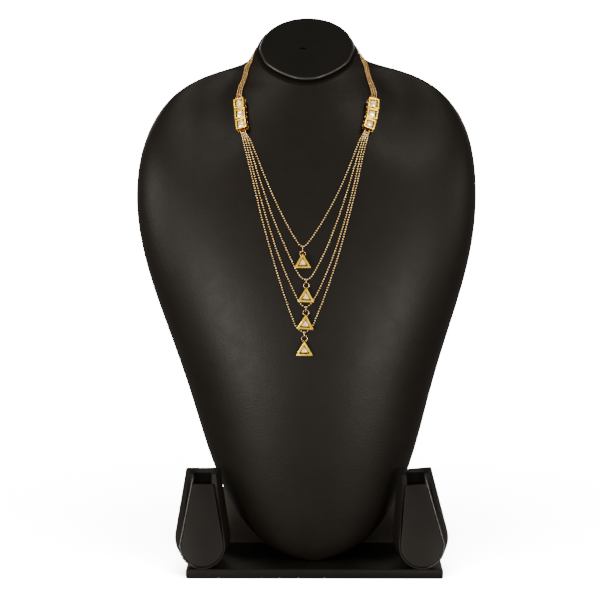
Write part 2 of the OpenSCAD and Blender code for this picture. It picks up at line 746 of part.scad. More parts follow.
base_plank();
back_panel();
neck_bust();
neck_cap();
earring_rest(-1);  // earring_rest_left
earring_rest(1);  // earring_rest_right
rest_plate(-1);  // rest_plate_left
rest_plate(1);  // rest_plate_right
bead_strand(STRAND_1, STRAND_LINK[0]);  // strand_1
strand_wire(STRAND_1, STRAND_LINK[0]);  // strand_1_wire
bead_strand(STRAND_2, STRAND_LINK[1]);  // strand_2
strand_wire(STRAND_2, STRAND_LINK[1]);  // strand_2_wire
plain_strand(STRAND_3, STRAND_LINK[2]);  // strand_3
plain_strand(STRAND_4, STRAND_LINK[3]);  // strand_4
drop(0);  // drop_1
drop(1);  // drop_2
drop(2);  // drop_3
drop(3);  // drop_4
drop_stone(0);  // drop_1_stone
drop_stone(1);  // drop_2_stone
drop_stone(2);  // drop_3_stone
drop_stone(3);  // drop_4_stone
drop_ring(0);  // drop_1_ring
drop_ring(1);  // drop_2_ring
drop_ring(2);  // drop_3_ring
drop_ring(3);  // drop_4_ring
drop_link(0);  // drop_1_link
drop_link(1);  // drop_2_link
drop_link(2);  // drop_3_link
drop_link(3);  // drop_4_link
cell(LEFT, 1);  // cell_left_1
cell(LEFT, 0);  // cell_left_2
cell(LEFT, -1);  // cell_left_3
cell(RIGHT, 1);  // cell_right_1
cell(RIGHT, 0);  // cell_right_2
cell(RIGHT, -1);  // cell_right_3
cell_stone(LEFT, 1);  // cell_left_1_stone
cell_stone(LEFT, 0);  // cell_left_2_stone
cell_stone(LEFT, -1);  // cell_left_3_stone
cell_stone(RIGHT, 1);  // cell_right_1_stone
cell_stone(RIGHT, 0);  // cell_right_2_stone
cell_stone(RIGHT, -1);  // cell_right_3_stone
cell_rods(LEFT, STRAND_4[0], STRAND_1[0]);  // cell_rods_left
cell_rods(RIGHT, STRAND_4[len(STRAND_4) - 1], STRAND_1[len(STRAND_1) - 1]);  // cell_rods_right
neck_chain(NECK_LEFT, -chain_gap);  // neck_chain_left_1
neck_chain(NECK_LEFT, 0);  // neck_chain_left_2
neck_chain(NECK_LEFT, chain_gap);  // neck_chain_left_3
neck_chain(NECK_RIGHT, -chain_gap);  // neck_chain_right_1
neck_chain(NECK_RIGHT, 0);  // neck_chain_right_2
neck_chain(NECK_RIGHT, chain_gap);  // neck_chain_right_3
chain_end(NECK_LEFT);  // chain_end_left
chain_end(NECK_RIGHT);  // chain_end_right
clasp();
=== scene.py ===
"""Layered necklace on its neck bust: the look of each piece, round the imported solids."""
import math
from bisect import bisect_right

import bmesh
import bpy
from mathutils import Matrix, Vector, noise
from mathutils.bvhtree import BVHTree


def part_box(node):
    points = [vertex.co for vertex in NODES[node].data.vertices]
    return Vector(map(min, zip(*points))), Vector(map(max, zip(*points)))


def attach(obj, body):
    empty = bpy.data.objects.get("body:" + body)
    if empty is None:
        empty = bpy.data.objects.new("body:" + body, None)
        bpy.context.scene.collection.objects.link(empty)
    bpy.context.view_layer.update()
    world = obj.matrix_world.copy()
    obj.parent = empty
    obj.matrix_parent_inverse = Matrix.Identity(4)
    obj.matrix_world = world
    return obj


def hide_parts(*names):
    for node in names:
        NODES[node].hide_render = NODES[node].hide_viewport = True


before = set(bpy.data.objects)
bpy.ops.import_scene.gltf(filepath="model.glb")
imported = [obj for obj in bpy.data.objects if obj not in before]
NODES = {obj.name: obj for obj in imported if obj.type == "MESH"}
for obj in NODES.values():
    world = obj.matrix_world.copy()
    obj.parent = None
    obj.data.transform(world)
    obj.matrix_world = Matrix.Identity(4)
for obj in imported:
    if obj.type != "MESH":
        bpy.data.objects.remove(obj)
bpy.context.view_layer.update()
MM = 0.001
# Both sides, and which way along x each of them lies.
OUTWARD = {"left": -1, "right": 1}


# Materials. Scales are per metre, and bump distances are in metres.

def material(name, **sockets):
    """A node material with constants on the shader's own sockets."""
    mat = bpy.data.materials.new(name)
    mat.use_nodes = True
    bsdf = mat.node_tree.nodes["Principled BSDF"]
    for key, value in sockets.items():
        bsdf.inputs[key.replace("_", " ")].default_value = value
    return mat, mat.node_tree, bsdf


def node(tree, kind, **values):
    """A node with values for its sockets, or else for its own settings."""
    made = tree.nodes.new(kind)
    for key, value in values.items():
        socket = key.replace("_", " ")
        if socket in made.inputs:
            made.inputs[socket].default_value = value
        else:
            setattr(made, key, value)
    return made


def object_coords(tree):
    """The piece's own coordinates."""
    return node(tree, "ShaderNodeTexCoord").outputs["Object"]


def ramp(tree, factor, stops):
    """The colour that a factor has between stops of a position and a colour."""
    made = node(tree, "ShaderNodeValToRGB")
    elements = made.color_ramp.elements
    while len(elements) < len(stops):
        elements.new(0.5)
    for element, (position, colour) in zip(elements, stops):
        element.position = position
        element.color = (*colour, 1)
    tree.links.new(factor, made.inputs["Fac"])
    return made.outputs["Color"]


def noise_texture(tree, vector, scale, detail, roughness=0.5):
    """Soft noise from 0 to 1."""
    made = node(tree, "ShaderNodeTexNoise", Scale=scale, Detail=detail, Roughness=roughness)
    tree.links.new(vector, made.inputs["Vector"])
    return made.outputs["Fac"]


def cell_texture(tree, vector, scale):
    """A texture of small cells, with a distance and a colour for each."""
    made = node(tree, "ShaderNodeTexVoronoi", Scale=scale)
    tree.links.new(vector, made.inputs["Vector"])
    return made


def bump(tree, bsdf, height, strength, distance, before=None):
    """Relief on the shader's normal, on top of the relief before it."""
    made = node(tree, "ShaderNodeBump", Strength=strength, Distance=distance)
    tree.links.new(height, made.inputs["Height"])
    if before:
        tree.links.new(before, made.inputs["Normal"])
    tree.links.new(made.outputs["Normal"], bsdf.inputs["Normal"])
    return made.outputs["Normal"]


def uneven_gloss(tree, bsdf, factor, low, high):
    """Roughness that wanders between two values."""
    spread = node(tree, "ShaderNodeMapRange", To_Min=low, To_Max=high)
    tree.links.new(factor, spread.inputs["Value"])
    tree.links.new(spread.outputs["Result"], bsdf.inputs["Roughness"])


def leatherette(name, dark, light, rough, spec=0.168):
    """Smooth coated cloth: pebbled grain, faint mottling and worn, glossier high spots."""
    mat, tree, bsdf = material(name, Roughness=rough, Specular_IOR_Level=spec)
    vector = object_coords(tree)
    mottle = noise_texture(tree, vector, scale=38.0, detail=4.0, roughness=0.55)
    tree.links.new(ramp(tree, mottle, [(0.3, dark), (0.7, light)]), bsdf.inputs["Base Color"])
    pores = cell_texture(tree, vector, scale=900.0).outputs["Distance"]
    grain = bump(tree, bsdf, pores, strength=0.35, distance=0.00012)
    folds = noise_texture(tree, vector, scale=160.0, detail=5.0, roughness=0.6)
    bump(tree, bsdf, folds, strength=0.3, distance=0.00018, before=grain)
    wear = noise_texture(tree, vector, scale=90.0, detail=6.0, roughness=0.65)
    uneven_gloss(tree, bsdf, wear, rough - 0.06, rough + 0.08)
    return mat


def gold(name, deep, bright, rough, dent=0.00006, metallic=1.0):
    """Plated metal with small dents, uneven colour and uneven polish."""
    mat, tree, bsdf = material(name, Metallic=metallic, Roughness=rough)
    vector = object_coords(tree)
    tone = noise_texture(tree, vector, scale=450.0, detail=3.0)
    tree.links.new(ramp(tree, tone, [(0.35, deep), (0.62, bright)]), bsdf.inputs["Base Color"])
    dents = noise_texture(tree, vector, scale=900.0, detail=4.0, roughness=0.6)
    bump(tree, bsdf, dents, strength=0.5, distance=dent)
    polish = noise_texture(tree, vector, scale=720.0, detail=2.0)
    uneven_gloss(tree, bsdf, polish, rough - 0.07, rough + 0.1)
    return mat


def foiled_stone(name):
    """A clear stone on silver foil: each flaw inside throws its own pale tint."""
    mat, tree, bsdf = material(name, Roughness=0.12, IOR=1.6, Metallic=0.35,
                               Coat_Weight=0.5, Coat_Roughness=0.03)
    flaws = cell_texture(tree, object_coords(tree), scale=900.0).outputs["Color"]
    tint = ramp(tree, flaws, [
        (0.0, (0.50, 0.26, 0.12)), (0.28, (0.90, 0.70, 0.50)), (0.55, (1.0, 0.98, 0.84)),
        (1.0, (0.86, 0.62, 0.44))])
    tree.links.new(tint, bsdf.inputs["Base Color"])
    return mat


LEATHER = leatherette("bust_leatherette", (0.0046, 0.0035, 0.0025), (0.0063, 0.0048, 0.0035),
                      rough=0.42, spec=0.153)
BOARD = leatherette("board_leatherette", (0.0035, 0.0031, 0.0025), (0.0048, 0.0042, 0.0034),
                    rough=0.40)
EDGE = leatherette("board_edge", (0.012, 0.011, 0.009), (0.018, 0.016, 0.013),
                   rough=0.30, spec=0.55)
# A near-black leatherette for the tuck in the board: painted shade in the fold.
TUCK_SHADE = leatherette("board_tuck_painted_shade", (0.0008, 0.0007, 0.0006), (0.0012, 0.0010, 0.0009),
                   rough=0.7, spec=0.02)
# A leatherette darker than the bust's, for the base plank: painted shade against the low lamps'
# light.
COVER_SHADED = leatherette("base_painted_shade", (0.0034, 0.0029, 0.0023), (0.0046, 0.0040, 0.0032),
                    rough=0.46, spec=0.11)
# A leatherette several times lighter than the bust's, for the back panel: painted light on a
# panel that lies in shade.
PANEL_PAINTED_LIGHT = leatherette("panel_painted_light", (0.021, 0.0185, 0.015), (0.028, 0.025, 0.020),
                    rough=0.50)
REST = leatherette("rest_leatherette", (0.0046, 0.0037, 0.0030), (0.0064, 0.0052, 0.0043),
                   rough=0.44, spec=0.145)
# A near-black leatherette for the pocket walls of the rests: painted shade.
POCKET_SHADE = leatherette("pocket_painted_shade", (0.0014, 0.0012, 0.0010), (0.0020, 0.0017, 0.0014),
                     rough=0.60, spec=0.04)
PIPING = leatherette("piping_gloss", (0.024, 0.022, 0.019), (0.040, 0.036, 0.031),
                     rough=0.26, spec=0.6)
BEAD = gold("bead_gold", (0.86, 0.56, 0.20), (1.0, 0.82, 0.42), rough=0.36, dent=0.00002)
CHAIN = gold("chain_gold", (0.66, 0.34, 0.10), (0.94, 0.62, 0.26), rough=0.34, dent=0.00002)
SETTING = gold("setting_gold", (0.94, 0.58, 0.02), (1.0, 0.75, 0.06), rough=0.24, metallic=0.86)
# Darker gold for the sloped recess round a stone: painted shade in the hollow.
RECESS_SHADE = gold("recess_gold_painted_shade", (0.52, 0.29, 0.01), (0.90, 0.60, 0.04), rough=0.28)
# Near-black gold for the recess slopes that face one way: deeper painted shade.
RECESS_SIDE_SHADE = gold("recess_side_painted_shade", (0.09, 0.045, 0.004), (0.26, 0.15, 0.015), rough=0.40)
WIRE = gold("wire_gold", (0.60, 0.32, 0.13), (0.92, 0.62, 0.32), rough=0.18)
# A near-black colour on the real core wire: painted shade in the gaps between beads.
CORE_PAINTED_SHADE = gold("strand_core_painted_shade", (0.09, 0.036, 0.010), (0.15, 0.065, 0.02), rough=0.5)
# Dark red for the cells' side walls: painted shade and a painted red reflection on gold walls.
WALL_SHADE = gold("wall_painted_shade", (0.10, 0.012, 0.005), (0.24, 0.040, 0.014), rough=0.32)
STONE = foiled_stone("kundan_stone")


# Objects and meshes from the CAD nodes

# Points closer than this are one point.
WELD = 0.002 * MM
FLAT = math.radians(1.0)
SAME_PLANE = 0.99999
# How nearly round a ring is, as its longest radius against its shortest.
ROUND = 1.05
BEVEL_FROM, SHARP_FROM = math.radians(30.0), math.radians(35.0)


def linked(name, data):
    """A new object in the scene."""
    obj = bpy.data.objects.new(name, data)
    bpy.context.scene.collection.objects.link(obj)
    return obj


def adopt(obj, replaces=()):
    """Makes an object a piece. It rides on the only body."""
    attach(obj, "root")
    if replaces:
        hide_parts(*replaces)
    return obj


def shade_smooth(mesh):
    """Shades every face smooth."""
    mesh.polygons.foreach_set("use_smooth", [True] * len(mesh.polygons))


def paint(name, mat):
    """Gives a round CAD node its material."""
    mesh = NODES[name].data
    mesh.materials.clear()
    mesh.materials.append(mat)
    shade_smooth(mesh)


def welded(name):
    """A working copy of a CAD node with its vertices joined."""
    bm = bmesh.new()
    bm.from_mesh(NODES[name].data)
    bmesh.ops.remove_doubles(bm, verts=bm.verts, dist=WELD)
    return bm


def cad_mesh(name):
    """A working copy of a CAD node: welded, with its flat faces whole again."""
    bm = welded(name)
    bmesh.ops.dissolve_limit(bm, angle_limit=FLAT, verts=bm.verts, edges=bm.edges,
                             use_dissolve_boundaries=False)
    return bm


def from_copy(bm, name, mats):
    """An object from a working copy, which is freed."""
    mesh = bpy.data.meshes.new(name)
    bm.to_mesh(mesh)
    bm.free()
    for mat in mats:
        mesh.materials.append(mat)
    return linked(name, mesh)


def apply_modifiers(obj):
    """Gives an object the mesh that its modifiers make."""
    bpy.context.view_layer.update()
    depsgraph = bpy.context.evaluated_depsgraph_get()
    mesh = bpy.data.meshes.new_from_object(obj.evaluated_get(depsgraph))
    obj.modifiers.clear()
    obj.data = mesh


def eased(name, mats, width, pick=None, turn=None, cut=None):
    """The CAD node with its edges rounded over.

    Before that, its faces are cut at the height cut, pick gives each its material's index,
    and turn moves the whole.
    """
    bm = cad_mesh(name)
    if cut is not None:
        bmesh.ops.bisect_plane(bm, geom=bm.verts[:] + bm.edges[:] + bm.faces[:],
                               plane_co=(0, 0, cut), plane_no=(0, 0, 1))
    if pick is not None:
        for face in bm.faces:
            face.material_index = pick(face)
    if turn is not None:
        bmesh.ops.transform(bm, matrix=turn, verts=bm.verts)
    obj = from_copy(bm, name + "_eased", mats)
    bevel = obj.modifiers.new("bevel", "BEVEL")
    bevel.width = width
    bevel.segments = 3
    bevel.limit_method = "ANGLE"
    bevel.angle_limit = BEVEL_FROM
    apply_modifiers(obj)
    shade_smooth(obj.data)
    obj.data.set_sharp_from_angle(angle=SHARP_FROM)
    return adopt(obj, [name])


def face_frame(name):
    """The place of a flat-backed node: x along its back, y up it and z out of it."""
    bm = cad_mesh(name)
    back = max(bm.faces, key=lambda f: f.calc_area())
    out = -back.normal
    edge = max(back.edges, key=lambda e: e.calc_length())
    along = (edge.verts[1].co - edge.verts[0].co).normalized()
    if abs(along.z) > abs(along.x):
        along = out.cross(along)
    if along.x < 0:
        along = -along
    centre = back.calc_center_median()
    bm.free()
    up = out.cross(along)
    return Matrix((
        (along.x, up.x, out.x, centre.x),
        (along.y, up.y, out.y, centre.y),
        (along.z, up.z, out.z, centre.z),
        (0, 0, 0, 1)))


def mean(points):
    """The middle of some points."""
    points = list(points)
    return sum(points, Vector()) / len(points)


def grow_flat(face):
    """The faces round a face that lie in its plane."""
    found, queue = {face}, [face]
    while queue:
        here = queue.pop()
        for edge in here.edges:
            for other in edge.link_faces:
                if other not in found and other.normal.dot(face.normal) > SAME_PLANE:
                    found.add(other)
                    queue.append(other)
    return found


def rings_from(first):
    """The rings of vertices of a lofted solid, in order from its first one."""
    layers, seen = [first], set(first)
    while True:
        following = {e.other_vert(v) for v in layers[-1] for e in v.link_edges} - seen
        if not following:
            return layers
        layers.append(following)
        seen |= following


def tube_end(bm, sides):
    """The vertices of a tube's flat end, the first one from the left."""
    for start in sorted(bm.verts, key=lambda v: v.co.x):
        for face in start.link_faces:
            ring = {v for f in grow_flat(face) for v in f.verts}
            centre = mean(v.co for v in ring)
            reach = [(v.co - centre).length for v in ring]
            if len(ring) == sides and max(reach) < ROUND * min(reach):
                return ring
    raise ValueError("no round end found")


def tube_line(name, sides):
    """The middle line of a CAD tube, ring by ring from its left end."""
    bm = welded(name)
    line = [mean(v.co for v in ring) for ring in rings_from(tube_end(bm, sides))]
    bm.free()
    return line


# Lines and curves. A fairing with both pulls evens a line and keeps its size.

EVEN_PULLS = (0.5, -0.52)


def clamped(x):
    """A number held between 0 and 1."""
    return min(max(x, 0.0), 1.0)


def smoothstep(x):
    """An even rise from 0 to 1 that starts and ends gently."""
    x = clamped(x)
    return x * x * (3 - 2 * x)


def span(a, b, c, d, steps):
    """Points from b on towards c, on a smooth curve through all four."""
    out = []
    for s in range(steps):
        u = s / steps
        out.append(0.5 * (2 * b + (c - a) * u + (2 * a - 5 * b + 4 * c - d) * u ** 2
                          + (3 * b - a - 3 * c + d) * u ** 3))
    return out


def open_curve(points, steps):
    """A smooth curve through the points."""
    last = len(points) - 1
    out = []
    for i in range(last):
        out += span(points[max(i - 1, 0)], points[i], points[i + 1],
                    points[min(i + 2, last)], steps)
    return out + [points[last].copy()]


def closed_curve(points, steps):
    """A smooth closed curve through the points."""
    count = len(points)
    out = []
    for i in range(count):
        out += span(*(points[(i + k - 1) % count] for k in range(4)), steps)
    return out


def faired(line, pull):
    """One pass that pulls each point of a line between its neighbours."""
    out = list(line)
    for i in range(1, len(line) - 1):
        a, b, c = line[i - 1], line[i], line[i + 1]
        near, far = (b - a).length, (c - b).length
        out[i] = b + ((a * far + c * near) / (near + far) - b) * pull
    return out


class Path:
    """A polyline that is walked by distance."""

    def __init__(self, points):
        self.points = points
        self.marks = [0.0]
        for a, b in zip(points, points[1:]):
            self.marks.append(self.marks[-1] + (b - a).length)
        self.length = self.marks[-1]

    def at(self, s):
        """The point at a distance from the start."""
        s = min(max(s, 0.0), self.length)
        low = min(bisect_right(self.marks, s), len(self.marks) - 1) - 1
        a, b = self.marks[low], self.marks[low + 1]
        return self.points[low].lerp(self.points[low + 1], (s - a) / max(b - a, 1e-12))

    def along(self, s):
        """The direction of the path there."""
        step = 0.4 * MM
        return (self.at(s + step) - self.at(s - step)).normalized()

    def even(self, count):
        """Points at even distances, both ends among them."""
        return [self.at(self.length * i / count) for i in range(count + 1)]


# Small shapes

def quads(rows, count, first=0):
    """The faces between rows of count points each, where each row is a ring."""
    return [(a + k, a + (k + 1) % count, a + count + (k + 1) % count, a + count + k)
            for a in range(first, first + (rows - 1) * count, count) for k in range(count)]


def lids(rows, count):
    """The faces over the first and the last of such rows."""
    last = (rows - 1) * count
    return [tuple(range(count - 1, -1, -1)), tuple(range(last, last + count))]


def on_circle(side, over, angle):
    """The direction at an angle from side towards over."""
    return side * math.cos(angle) + over * math.sin(angle)


class Builder:
    """Collects many small shapes into one mesh, from points in metres."""

    def __init__(self):
        self.verts, self.faces, self.indices = [], [], []

    def add(self, verts, faces, indices):
        """Adds a shape, with each face's material index."""
        base = len(self.verts)
        self.verts += verts
        self.faces += [tuple(base + i for i in face) for face in faces]
        self.indices += indices

    def piece(self, name, mats, replaces=()):
        """All the shapes as one piece."""
        mesh = bpy.data.meshes.new(name)
        mesh.from_pydata([tuple(v) for v in self.verts], [], self.faces)
        for mat in mats:
            mesh.materials.append(mat)
        mesh.polygons.foreach_set("material_index", self.indices)
        shade_smooth(mesh)
        mesh.update()
        return adopt(linked(name, mesh), replaces)

    def ball(self, centre, axis, r, sides, rows, index=0, stretch=1.0):
        """A round bead with its poles on axis."""
        side = axis.orthogonal().normalized()
        over = axis.cross(side)
        verts = [centre - axis * r * stretch]
        for row in range(1, rows):
            a = math.pi * row / rows
            for k in range(sides):
                verts.append(centre - axis * (r * stretch * math.cos(a))
                             + r * math.sin(a) * on_circle(side, over, 2 * math.pi * k / sides))
        verts.append(centre + axis * r * stretch)
        top = len(verts) - 1
        faces = [(0, 1 + (k + 1) % sides, 1 + k) for k in range(sides)]
        faces += quads(rows - 1, sides, first=1)
        faces += [(top - sides + k, top - sides + (k + 1) % sides, top) for k in range(sides)]
        self.add(verts, faces, [index] * len(faces))

    def tube(self, points, r, sides, index=0):
        """A round wire through the points. r is one radius or a list of them."""
        last = len(points) - 1
        side = None
        verts = []
        for i, point in enumerate(points):
            along = (points[min(i + 1, last)] - points[max(i - 1, 0)]).normalized()
            if side is None:
                side = along.orthogonal().normalized()
            side = (side - along * side.dot(along)).normalized()
            over = along.cross(side)
            radius = r[i] if isinstance(r, list) else r
            verts += [point + radius * on_circle(side, over, 2 * math.pi * k / sides)
                      for k in range(sides)]
        faces = quads(len(points), sides) + lids(len(points), sides)
        self.add(verts, faces, [index] * len(faces))

    def coil(self, centre, axis, r, wire, turns, pitch):
        """A wire wound round an axis."""
        side = axis.orthogonal().normalized()
        over = axis.cross(side)
        steps = 14
        points = [centre + axis * pitch * (i / steps - turns / 2)
                  + r * on_circle(side, over, 2 * math.pi * i / steps)
                  for i in range(turns * steps + 1)]
        self.tube(points, wire, sides=6)


# The bust. Its neck is evened out in front, near the middle and above its root.

NECK_HALF, NECK_HALF_FADE = 46 * MM, 12 * MM
NECK_ROOT, NECK_ROOT_FADE = 315 * MM, 10 * MM
NECK_FRONT = 30 * MM
BUST_PASSES, NECK_PASSES = 14, 60
# How many points a ring may be turned by against the one before it.
MOST_TURN = 6
RIM_INSET, RIM_CREASE = 0.94, 0.75
SLACK, SLACK_SCALE = 0.1 * MM, 22.0


def in_order(layer):
    """The points of a ring, sorted round its middle."""
    centre = mean(v.co for v in layer)
    return sorted((v.co.copy() for v in layer),
                  key=lambda p: math.atan2(p.y - centre.y, p.x - centre.x))


def in_step(ring, before):
    """The ring, turned so that its points follow those of the ring before it."""
    n = len(ring)
    turn = min(range(-MOST_TURN, MOST_TURN + 1), key=lambda s: sum(
        (before[k] - ring[(k + s) % n]).length_squared for k in range(0, n, 3)))
    return [ring[(k + turn) % n] for k in range(n)]


def bust_rings():
    """The bust's solid as rings of points, from its slanted top down."""
    bm = welded("neck_bust")
    top = max((f for f in bm.faces if f.normal.z > 0.6), key=lambda f: f.calc_center_median().z)
    rim = {v for f in grow_flat(top) for v in f.verts}
    rings = []
    for layer in rings_from(rim):
        ring = in_order(layer)
        if rings and len(ring) == len(rings[-1]):
            ring = in_step(ring, rings[-1])
        rings.append(ring)
    bm.free()
    return [ring for ring in rings if len(ring) == len(rings[0])]


def soft_neck(column):
    """Evens out the front of the neck, between the chains and under the slanted end."""
    out = list(column)
    for _ in range(NECK_PASSES):
        even = faired(out, 0.5)
        for i, point in enumerate(out):
            share = clamped((NECK_HALF - abs(point.x)) / NECK_HALF_FADE)
            share *= clamped((point.z - NECK_ROOT) / NECK_ROOT_FADE)
            if i > 1 and point.y < NECK_FRONT and share > 0.0:
                out[i] = point.lerp(even[i], share)
    return out


def inset(ring):
    """The ring drawn in a little towards its middle."""
    middle = mean(ring)
    return [middle + (p - middle) * RIM_INSET for p in ring]


def soft_bust():
    """The bust's solid, made smooth, with a trace of slackness in its cover."""
    columns = [list(column) for column in zip(*bust_rings())]
    for _ in range(BUST_PASSES):
        for pull in EVEN_PULLS:
            columns = [faired(column, pull) for column in columns]
    rings = list(zip(*(soft_neck(column) for column in columns)))
    rings = [inset(rings[0]), *rings, inset(rings[-1])]
    rows, n = len(rings), len(rings[0])
    mesh = bpy.data.meshes.new("bust_skin")
    mesh.from_pydata([tuple(p) for ring in rings for p in ring], [],
                     quads(rows, n) + lids(rows, n))
    bm = bmesh.new()
    bm.from_mesh(mesh)
    bmesh.ops.recalc_face_normals(bm, faces=bm.faces)
    crease = bm.edges.layers.float.new("crease_edge")
    for edge in bm.edges:
        low, high = sorted(v.index // n for v in edge.verts)
        if low == high and low in (1, rows - 2):
            edge[crease] = RIM_CREASE
    bm.to_mesh(mesh)
    bm.free()
    obj = linked("bust_skin", mesh)
    smooth = obj.modifiers.new("smooth", "SUBSURF")
    smooth.levels = smooth.render_levels = 2
    apply_modifiers(obj)
    skin = obj.data
    moved = [v.co - v.normal * (SLACK + SLACK * noise.noise(v.co * SLACK_SCALE))
             for v in skin.vertices]
    skin.vertices.foreach_set("co", [value for point in moved for value in point])
    skin.update()
    skin.materials.append(LEATHER)
    shade_smooth(skin)
    return adopt(obj, ["neck_bust"])


# The board on the neck, placed by CAP_SHIFT across and up its slant. The rows of its
# section with the turned edge are glossy. The tuck lies a little off the middle; its
# near-black faces are painted shade in the fold.

CAP_SHIFT = (0.6 * MM, 1.1 * MM)
CAP_POINTS, CAP_PASSES = 112, 25
TURNED_ROWS = range(5, 10)
FACE_REACH, FACE_ROWS = 0.95, 14
FACE_SAG, FACE_DROP = 0.25 * MM, 0.05 * MM
TUCK_AT = (-2.6 * MM, -2.9 * MM)
TUCK_HALF = (2.3 * MM, 0.62 * MM)
TUCK_DEPTH = 1.3 * MM
TUCK_REACH, TUCK_ROWS = 0.27, 34


def outline_of(face):
    """The corners of a face, in order."""
    return [loop.vert.co.copy() for loop in face.loops]


def even_outline(points):
    """A closed curve with points at even distances and its small kinks taken out."""
    out = Path(points + points[:1]).even(CAP_POINTS)[:-1]
    for _ in range(CAP_PASSES):
        for pull in EVEN_PULLS:
            out = [p + ((out[i - 1] + out[(i + 1) % len(out)]) / 2 - p) * pull
                   for i, p in enumerate(out)]
    return out


def cap_section(thick):
    """The board's rings: how far out of the middle, and how far under its top."""
    rings = [(0.9, thick), (0.97, thick), (0.99, thick - 0.3 * MM), (0.996, thick - 0.9 * MM),
             (1.0, thick * 0.6), (1.0, 0.9 * MM), (0.998, 0.55 * MM), (0.993, 0.25 * MM),
             (0.986, 0.08 * MM), (0.976, 0.01 * MM), (0.964, 0.0)]
    step = (FACE_REACH - TUCK_REACH) / FACE_ROWS
    rings += [(FACE_REACH - step * k, 0.0) for k in range(FACE_ROWS)]
    return rings + [(TUCK_REACH - TUCK_REACH * k / TUCK_ROWS, 0.0) for k in range(TUCK_ROWS)]


def cap_board():
    """The covered board on the neck: turned-over edge, soft face, a small tuck in the middle,
    with painted shade in the tuck.
    """
    bm = cad_mesh("neck_cap")
    faces = sorted(bm.faces, key=lambda f: f.calc_area(), reverse=True)[:2]
    top = max(faces, key=lambda f: f.normal.z)
    base = min(faces, key=lambda f: f.normal.z)
    normal = top.normal.copy()
    middle = top.calc_center_median()
    thick = (middle - base.calc_center_median()).dot(normal)
    rim = even_outline(closed_curve(outline_of(top), steps=4))
    bm.free()
    across = Vector((1, 0, 0))
    across = (across - normal * across.dot(normal)).normalized()
    rise = normal.cross(across)
    shift = across * CAP_SHIFT[0] + rise * CAP_SHIFT[1]
    middle = middle + shift
    rim = [p + shift - normal * (p + shift - middle).dot(normal) for p in rim]
    rings = cap_section(thick)
    verts, sunk = [], set()
    for size, under in rings:
        for p in rim:
            out = p - middle
            spot = middle + out * size - normal * under
            if under == 0.0:
                x = (out.dot(across) * size - TUCK_AT[0]) / TUCK_HALF[0]
                y = (out.dot(rise) * size - TUCK_AT[1]) / TUCK_HALF[1]
                tuck = math.exp(-x ** 4 - y ** 2)
                sag = FACE_SAG * max(0.0, 1 - (size / FACE_REACH) ** 2)
                spot -= normal * (TUCK_DEPTH * tuck + sag + FACE_DROP)
                if tuck > 0.05:
                    sunk.add(len(verts))
            verts.append(spot)
    faces = quads(len(rings), len(rim))
    # The third material is a near-black leatherette: painted shade in the tuck.
    plain, glossy, dark = range(3)
    indices = [glossy if i // len(rim) in TURNED_ROWS
               else dark if sunk.issuperset(face) else plain for i, face in enumerate(faces)]
    build = Builder()
    build.add(verts, faces + lids(len(rings), len(rim)), indices + [plain, plain])
    build.piece("cap_board", [BOARD, EDGE, TUCK_SHADE], ["neck_cap"])


# The earring rests. Light reaches the pocket above a rest's plate down to POCKET_LIGHT
# above it, and the pocket is wider than the plate by POCKET_ROOM on each side. The pocket's
# walls below that height get a near-black leatherette: painted shade.

POCKET_LIGHT, POCKET_ROOM = 6.0 * MM, 1.8 * MM
PLATE_TIP = 3 * MM
CORD_R, CORD_OUT, CORD_RISE, CORD_POINTS = 0.42 * MM, 0.35 * MM, 5 * MM, 60
CORD_END = math.radians(76)


def pocket_shade_pick(left, right, low, high):
    """Picks the walls of the pocket, up to where light reaches them, for the painted shade."""
    def pick(face):
        top = max(v.co.z for v in face.verts)
        within = all(left < v.co.x < right for v in face.verts)
        return 1 if within and top > low and face.calc_center_median().z < high else 0
    return pick


def piping(side):
    """A glossy cord along the outer edge of a rest's plate, from above its top to its foot."""
    bm = cad_mesh("rest_plate_" + side)
    front = max((f for f in bm.faces if f.normal.y < -0.8), key=lambda f: f.calc_area())
    outline = outline_of(front)
    centre = front.calc_center_median()
    normal = front.normal.copy()
    bm.free()

    def slope(p):
        return math.atan2(centre.z - p.z, (p.x - centre.x) * OUTWARD[side])

    outer = [p for p in outline if (p.x - centre.x) * OUTWARD[side] > 0 and slope(p) < CORD_END]
    line = []
    for p in sorted(outer, key=slope):
        away = p - centre
        away -= normal * away.dot(normal)
        line.append(p + away.normalized() * CORD_OUT)
    line.insert(0, line[0] + (line[0] - line[1]).normalized() * CORD_RISE)
    # The cord's radius grows over its first points and shrinks over its last.
    ends = [min(i, CORD_POINTS - i) for i in range(CORD_POINTS + 1)]
    build = Builder()
    build.tube(Path(open_curve(line, steps=6)).even(CORD_POINTS),
               [CORD_R * min(1.0, 0.25 + 0.25 * end) for end in ends], sides=8)
    build.piece("plate_piping_" + side, [PIPING])


def earring_rest(side):
    """A rest with painted shade in its pocket, its front plate and the cord on the plate."""
    plate = "rest_plate_" + side
    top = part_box(plate)[1][2]
    upper = [v.co.x for v in NODES[plate].data.vertices if v.co.z > top - PLATE_TIP]
    lit = top + POCKET_LIGHT
    pick = pocket_shade_pick(min(upper) - POCKET_ROOM, max(upper) + POCKET_ROOM, top - 1 * MM, lit)
    eased("earring_rest_" + side, [REST, POCKET_SHADE], width=0.7 * MM, pick=pick,
          cut=lit)
    eased(plate, [REST], width=0.9 * MM)
    piping(side)


# Strands and neck chains. The solids of the drilled strands are loose beads on a wire.

DRILLED = (1, 2)
BEAD_R, BEAD_PITCH = 0.60 * MM, 1.82 * MM
CHAIN_R, CHAIN_PITCH = 0.55 * MM, 1.7 * MM
# The sides and the rows of faces of a ball.
BEAD_BALL, SMALL_BALL = (14, 8), (10, 6)
# The thin cores' radii, and the spans of each.
STRAND_CORE_R, STRAND_SPANS = 0.15 * MM, 160
CHAIN_CORE_R, CHAIN_SPANS = 0.14 * MM, 80
# How finely the middle of a strand is looked for.
SEARCH_STEPS = 2000
